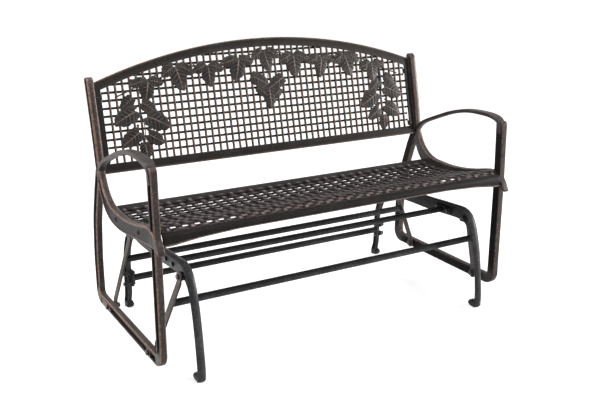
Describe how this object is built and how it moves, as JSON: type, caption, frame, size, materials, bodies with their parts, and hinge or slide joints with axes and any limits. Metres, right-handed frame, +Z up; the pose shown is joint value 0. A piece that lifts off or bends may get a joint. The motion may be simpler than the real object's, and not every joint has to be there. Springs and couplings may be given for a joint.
{
  "type": "glider bench",
  "caption": "Two-seat metal glider bench with an arched lattice back, dished woven-look seat and curved arms, hung by swing links from a low legged base.",
  "frame": {"origin": "on the floor under the middle of the bench", "axes": "+X to the right as seen from the front, +Y to the back (the front faces -Y), +Z up"},
  "size_m": [1.2666, 0.6243, 0.8828],
  "materials": {
    "bronze_castings": "satin dark bronze with copper rubbed edges",
    "bronze_panels": "satin near-black bronze with copper rubbed relief",
    "base_frames": "satin charcoal over a fine cast texture",
    "link_metal": "satin dark bronze",
    "hardware": "satin dark, worn bright at the corners"
  },
  "bodies": {
    "base": {"left_base_frame": "base_frames", "right_base_frame": "base_frames", "front_stretcher": "base_frames", "rear_stretcher": "base_frames", "stretcher_bolts": "hardware", "stretcher_nuts": "hardware", "upper_pivot_bolts": "hardware", "upper_pivot_nuts": "hardware"},
    "rear_swing": {"left_rear_link": "link_metal", "right_rear_link": "link_metal", "rear_cross_bar": "link_metal"},
    "front_swing": {"left_front_link": "link_metal", "right_front_link": "link_metal", "front_cross_bar": "link_metal"},
    "seat": {"left_side_frame": "bronze_castings", "right_side_frame": "bronze_castings", "back_panel": "bronze_panels", "back_lattice_rows": "bronze_panels", "leaf_garland": "bronze_panels", "seat_panel": "bronze_panels", "seat_screws": "hardware", "back_screws": "hardware", "lower_pivot_bolts": "hardware", "lower_pivot_nuts": "hardware"}
  },
  "joints": [
    {"name": "glide", "type": "hinge", "parent": "base", "child": "rear_swing", "pos_m": [0, 0.198, 0.296], "axis": [1, 0, 0], "range_deg": [-10, 10]},
    {"name": "seat_level", "type": "hinge", "parent": "rear_swing", "child": "seat", "pos_m": [0, 0.177, 0.068], "axis": [1, 0, 0], "range_deg": [-12, 12]},
    {"name": "front_link_swing", "type": "hinge", "parent": "base", "child": "front_swing", "pos_m": [0, -0.214, 0.296], "axis": [1, 0, 0], "range_deg": [-10.5, 10.5]}
  ],
  "couplings": [
    {"joint": "seat_level", "follows": "glide", "ratio": -1.1521},
    {"joint": "front_link_swing", "follows": "glide", "ratio": 1.0005}
  ]
}
